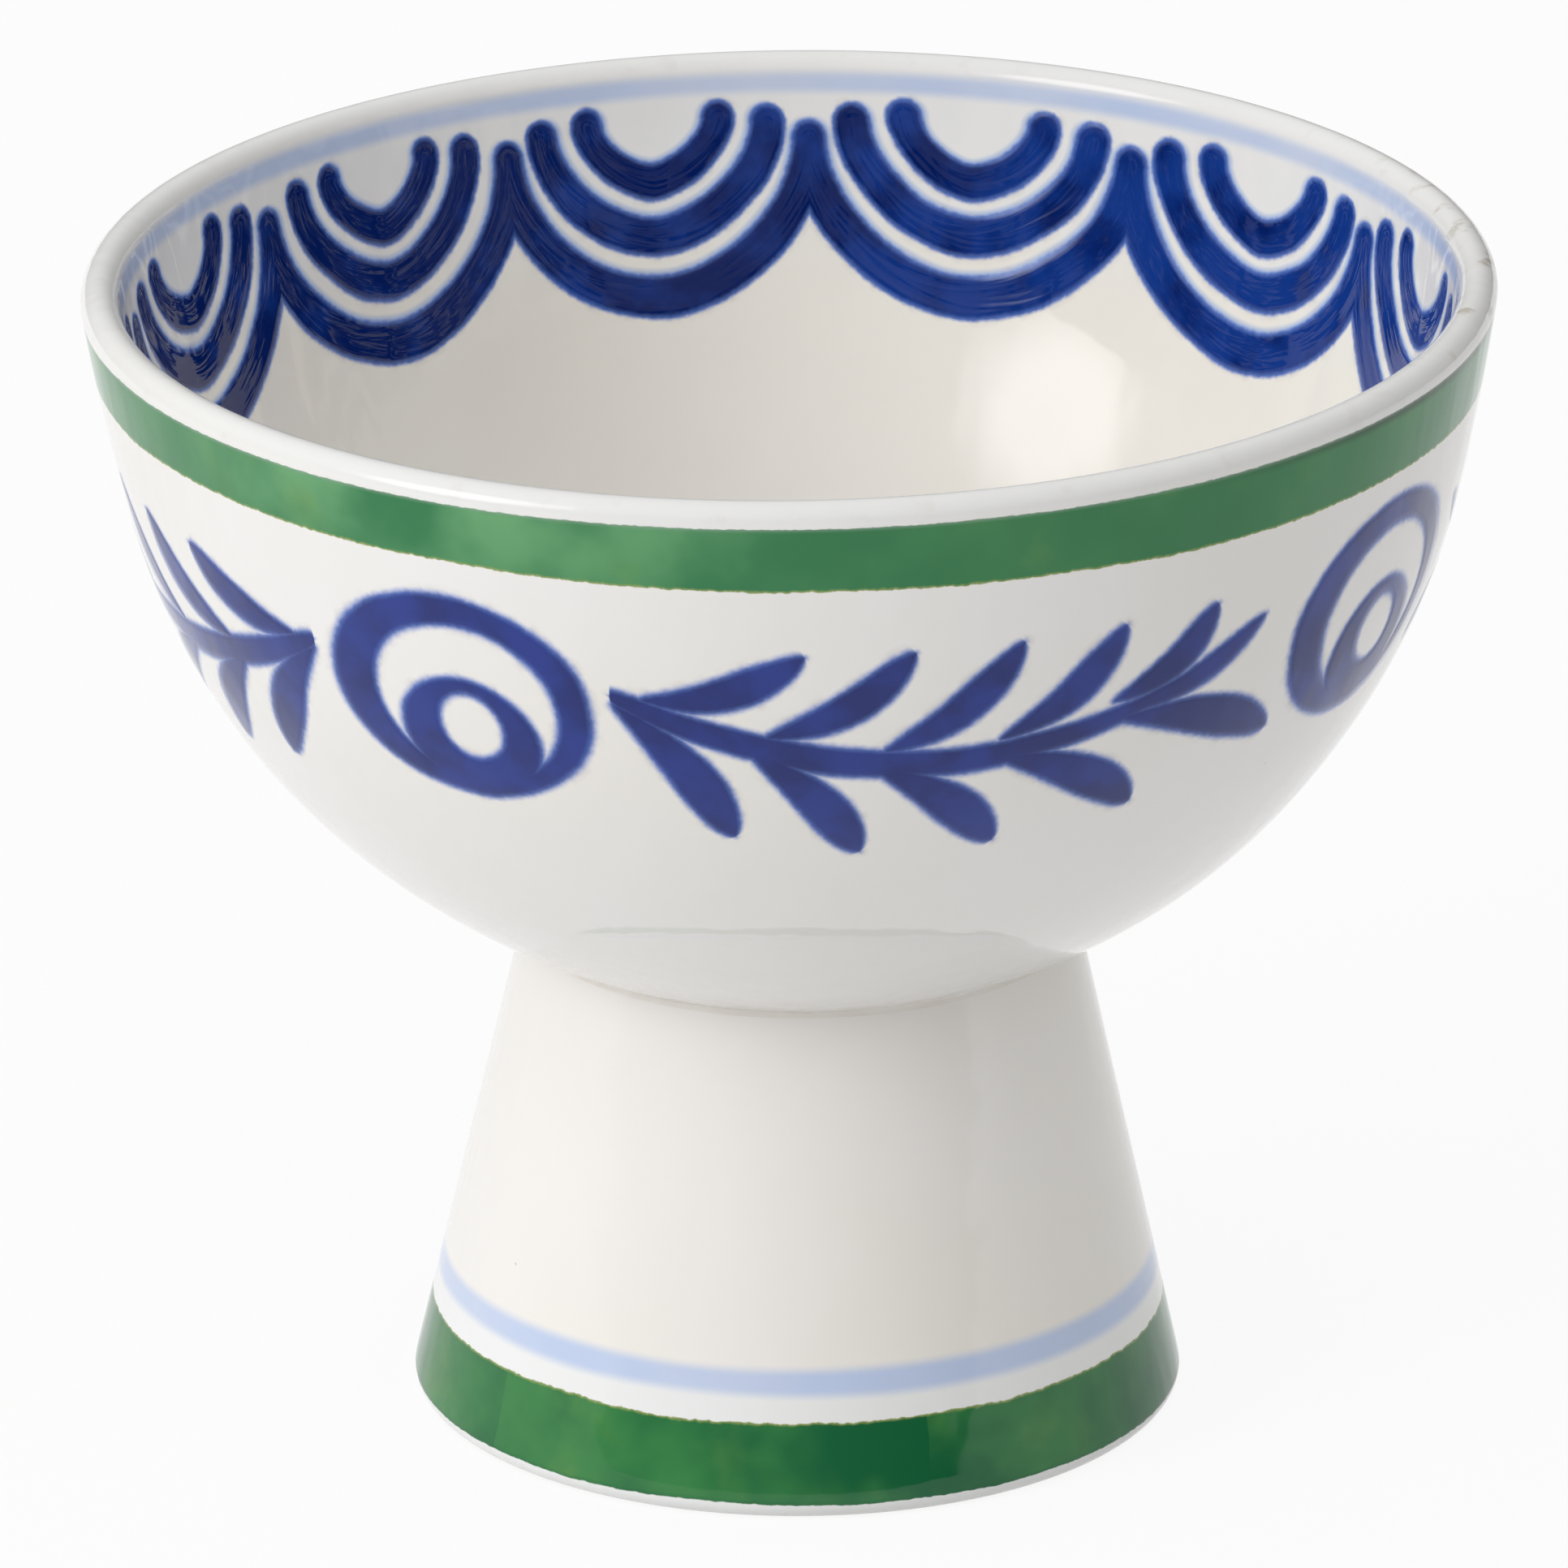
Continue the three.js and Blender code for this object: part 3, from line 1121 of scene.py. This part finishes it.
# %% [markdown]
# ## The bowl's finish
# The coats go on in the painter's order: white, green, the blue outside, the lip, the blue inside,
# and the gloss over all. Inside and outside could be two materials with an edge between them. One
# material with the run along the section keeps the lip smooth, and one picture can be baked from it.

# %% The painted bowl's finish
THIN_COBALT = (colour(26, 50, 134), colour(17, 36, 108))
SPRAY_EDGE = 0.7
PAINT_RELIEF, RELIEF_EDGE = 0.8, (-0.4, 0.9)


def bowl_glaze():
    material, paint = finish("painted_bowl_glaze")
    place, degrees, down = measures(paint)
    inside = -down - lip_length / MM
    to_right = (degrees * DEGREE).math("SINE")
    outside_white = bare_glaze(paint, place, OUTSIDE_WHITES)
    inside_white = bare_glaze(paint, place, INSIDE_WHITES)
    base = paint.mix(inside.smooth(*WARM_FROM), outside_white, inside_white)
    base = rim_band(paint, base, place, down, to_right)
    marks = outside_marks(paint, place, degrees, down)
    base = cobalt(paint, base, marks, place, THIN_COBALT, SPRAY_EDGE)
    base = worn_lip(paint, base, place, inside, to_right)
    base, hoops = inside_border(paint, base, place, inside, degrees, to_right)
    relief = joined(marks, hoops).smooth(*RELIEF_EDGE) * PAINT_RELIEF
    fired(paint, base, place, relief + bristle_marks(paint, place, hoops))
    print("bowl finish:", len(material.node_tree.nodes), "nodes")
    return material


# %% [markdown]
# ## The foot's finish
# The foot has a pale line, a green band almost down to the table, and a bare ring to stand on,
# because glaze would stick to the kiln's shelf. The brush is loaded five times on the way round, and
# each load starts dark and runs dry. The hollow stays plain. The measure could be the run along the
# section, as on the bowl, but height is simpler where everything lies level.

# %% The foot's band
FOOT_GREENS = (colour(4, 94, 52), colour(50, 126, 64), colour(62, 134, 72))
FOOT_BAND = (1.6, 9.7)
FOOT_WANDER, FOOT_LOW_WANDER = (60.0, 0.5), 0.7
FOOT_LOADS, LOAD_END, RUN_DRY = 5, 21.0, 0.11
LOAD_EDGE_SCALE, LOAD_EDGE = 250.0, 1.5


def foot_band(paint, base, place, degrees, height):
    wander = unsteady(paint, place, *FOOT_WANDER)
    low, high = FOOT_BAND
    from_bottom = height - low + wander * FOOT_LOW_WANDER
    from_top = high + wander - height
    ragged = noise(paint, place, LOAD_EDGE_SCALE) * LOAD_EDGE
    brushed = ((degrees - LOAD_END + ragged) * (FOOT_LOADS / 360)).math("FRACT")
    return band(paint, base, from_bottom, from_top, place, (1 - brushed) * RUN_DRY, FOOT_GREENS)


print("the foot's band takes", FOOT_LOADS, "loads of the brush")

# %% The painted foot's finish
FOOT_LINE = (12.3, 14.9)
FOOT_COOL_EDGE, FOOT_COOL_STRENGTH = (0.0, 1.5), 0.6
HOLLOW_EDGE = (0.0, 1.0)
BARE_CLAY = colour(224, 216, 202)
BARE_EDGE, BARE_DULLNESS = (0.1, 0.3), 0.6


def foot_glaze():
    material, paint = finish("painted_foot_glaze")
    place, degrees, hollow = measures(paint)
    height = paint.separate(place).out("Z") / MM
    plain = bare_glaze(paint, place, FOOT_WHITES)
    cool = (FOOT_LINE[1] - height).smooth(*FOOT_COOL_EDGE) * FOOT_COOL_STRENGTH
    base = pale_line(paint, paint.mix(cool, plain, COOL_GLAZE), height, *FOOT_LINE, place)
    base = foot_band(paint, base, place, degrees, height)
    base = paint.mix(hollow.smooth(*HOLLOW_EDGE), base, plain)
    bare = 1 - height.smooth(*BARE_EDGE)
    fired(paint, paint.mix(bare, base, BARE_CLAY), place, dull=bare * BARE_DULLNESS)
    print("foot finish:", len(material.node_tree.nodes), "nodes")
    return material


# %% [markdown]
# ## The slip's finish
# Fired slip shows as a thin warm line in the corner, where the glaze pulled away from it. One beige
# would do at this size, but close up it is the foot's white with clouds of bare clay.

# %% The fired slip
SLIP_CLAY = colour(214, 204, 188)
SLIP_CLOUD_SCALE, SLIP_CLOUD_STRENGTH = 300.0, 0.6


def slip_finish():
    material, paint = finish("fired_slip")
    place = paint.node("ShaderNodeTexCoord", output="Object")
    cloud = noise(paint, place, SLIP_CLOUD_SCALE, 3.0) * SLIP_CLOUD_STRENGTH
    fired(paint, paint.mix(cloud, FOOT_WHITES[0], SLIP_CLAY), place)
    print("slip finish:", len(material.node_tree.nodes), "nodes")
    return material


# %% [markdown]
# ## The three pieces
# Everything is ready, so each section goes on the wheel with its glaze. The run is counted from the
# base of the lip on the bowl and from the standing ring on the foot. Each piece rides on the one
# body that the model has and stands for its solid, which is hidden.

# %% Turn the pieces
# Each strip is its lowest run in mm, its parts round the axis, and its height on the map.
BOWL_STRIPS = ((46, 1, 0.13), (0, 2, 0.195), (-34, 2, 0.15), (-math.inf, 1, 0.13))
FOOT_STRIPS = ((3.4, 1, 0.17), (0, 1, 0.04), (-47.6, 2, 0.36), (-math.inf, 1, 0.03))
SLIP_STRIPS = ((-math.inf, 1, 0.99),)

bowl = turned("turned_bowl", bowl_section, len(bowl_outside) - 1, bowl_glaze(), BOWL_STRIPS)
foot = turned("turned_foot", foot_section, len(foot_hollow) - 1, foot_glaze(), FOOT_STRIPS)
slip = turned("slip_fillet", slip_section, 0, slip_finish(), SLIP_STRIPS)

for piece, node, slot in (
    (bowl, "bowl", "bowl_glaze"),
    (foot, "foot", "foot_glaze"),
    (slip, "luting_slip", "slip"),
):
    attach(piece, "root")
    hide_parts(node)

# %% [markdown]
# ## The floor
# A studio table of pale paper. Seen straight or in a reflection it is almost white, which a little
# emission on those rays gives, and it still takes the bowl's soft shadow. More light would whiten it
# too, but it would bleach the bowl.

# %% Floor
FLOOR_SIZE = 6.0
FLOOR_DROP = 0.05 * MM
FLOOR_GREY = (0.83, 0.83, 0.83, 1)
FLOOR_GLOW = 0.9
WHITE = (1, 1, 1, 1)


def floor_finish():
    material, paint = finish("studio_floor")
    path = paint.node("ShaderNodeLightPath", output="Is Camera Ray")
    seen = path.math("MAXIMUM", path.out("Is Glossy Ray"))
    seen = seen.math("MAXIMUM", path.out("Is Transmission Ray"))
    pale = paint.node("ShaderNodeBsdfDiffuse", {}, {"Color": FLOOR_GREY})
    glow = paint.node("ShaderNodeEmission", {}, {"Color": WHITE, "Strength": 1.0})
    paper = paint.node("ShaderNodeMixShader", {}, {0: seen * FLOOR_GLOW, 1: pale, 2: glow})
    paint.node("ShaderNodeOutputMaterial", {}, {"Surface": paper})
    return material


far = FLOOR_SIZE / 2
corners = [(x, y, -FLOOR_DROP) for x, y in ((-far, -far), (far, -far), (far, far), (-far, far))]
floor_mesh = bpy.data.meshes.new("floor")
floor_mesh.from_pydata(corners, [], [(0, 1, 2, 3)])
floor_mesh.materials.append(floor_finish())
floor = bpy.data.objects.new("floor", floor_mesh)
bpy.context.scene.collection.objects.link(floor)
print(f"floor: {FLOOR_SIZE} m across")

# %% [markdown]
# ## The surround
# White walls and a white ceiling light the bowl softly from all round. A world shader gives them
# without any geometry: brighter overhead than at the horizon, and a little brighter to the left and
# in front, on the side of the main lamp.

# %% World
HORIZON, OVERHEAD = 0.26, 0.9
CEILING_EDGE = (0.05, 0.75)
LEFT_SIDE, FRONT_SIDE = 0.2, 0.1

world = bpy.data.worlds.new("studio")
bpy.context.scene.world = world
world.use_nodes = True
world.node_tree.nodes.clear()
sky = Nodes(world.node_tree)
right = sky.separate(sky.node("ShaderNodeTexCoord", output="Generated"))
rise = right.out("Z").smooth(*CEILING_EDGE) * (OVERHEAD - HORIZON)
level = HORIZON + rise - right * LEFT_SIDE - right.out("Y") * FRONT_SIDE
surround = sky.node("ShaderNodeBackground", {}, {"Color": WHITE, "Strength": level})
sky.node("ShaderNodeOutputWorld", {}, {"Surface": surround})
print("surround:", HORIZON, "at the horizon and", OVERHEAD, "overhead")

# %% [markdown]
# ## The lamps
# A large soft lamp at the front left does most of the work, and its reflection is the bright patch
# inside the bowl. A weak one at the right keeps the far side from going dark. A plain area lamp
# would reflect as a hard square, so each one fades towards its edge.

# %% Lamps
LAMP_FADE = (0.2, 0.55)


def lamp(name, azimuth, rise, distance, width, height, power):
    """A soft lamp aimed at the bowl; azimuth 0 is the front and 90 the right."""
    light = bpy.data.lights.new(name, "AREA")
    light.shape = "RECTANGLE"
    light.size = width
    light.size_y = height
    light.energy = power
    light.use_nodes = True
    light.node_tree.nodes.clear()
    panel = Nodes(light.node_tree)
    spot = panel.node("ShaderNodeNewGeometry", output="Parametric")
    fade = 1 - spot.vector("SUBTRACT", (0.5, 0.5, 0)).length().smooth(*LAMP_FADE)
    glow = panel.node("ShaderNodeEmission", {}, {"Strength": fade})
    panel.node("ShaderNodeOutputLight", {}, {"Surface": glow})
    a, e = math.radians(azimuth), math.radians(rise)
    away = Vector((math.sin(a) * math.cos(e), -math.cos(a) * math.cos(e), math.sin(e)))
    thing = bpy.data.objects.new(name, light)
    thing.location = Vector((0, 0, TOP / 2)) + away * distance
    thing.rotation_euler = away.to_track_quat("Z", "Y").to_euler()
    bpy.context.scene.collection.objects.link(thing)
    print(name, "lamp:", power, "W")


lamp("key", azimuth=-56, rise=27, distance=1.6, width=1.15, height=1.1, power=20.5)
lamp("fill", azimuth=82, rise=12, distance=1.4, width=1.1, height=1.1, power=1.2)

# %% [markdown]
# ## The camera
# The ellipses of the rim and the base tell how high the camera stood, and how little they differ in
# shape tells that it stood far away with a long lens. The standard view shows colours about as
# they are written.

# %% Camera
CAMERA_DISTANCE = 1.8
CAMERA_RISE = math.radians(20.673)
AIM = Vector((-1.34 * MM, 0, 63.52 * MM))
LENS, SENSOR = 413.77, 36
FAR_CLIP = 20

camera = bpy.data.objects.new("camera", bpy.data.cameras.new("camera"))
camera.data.lens = LENS
camera.data.sensor_width = SENSOR
camera.data.clip_end = FAR_CLIP
back = Vector((0, -math.cos(CAMERA_RISE), math.sin(CAMERA_RISE)))
camera.location = AIM + CAMERA_DISTANCE * back
camera.rotation_euler = (math.pi / 2 - CAMERA_RISE, 0, 0)
bpy.context.scene.collection.objects.link(camera)
bpy.context.scene.camera = camera
bpy.context.scene.view_settings.view_transform = "Standard"
print(f"camera {CAMERA_DISTANCE} m away, {math.degrees(CAMERA_RISE):.1f} degrees up")
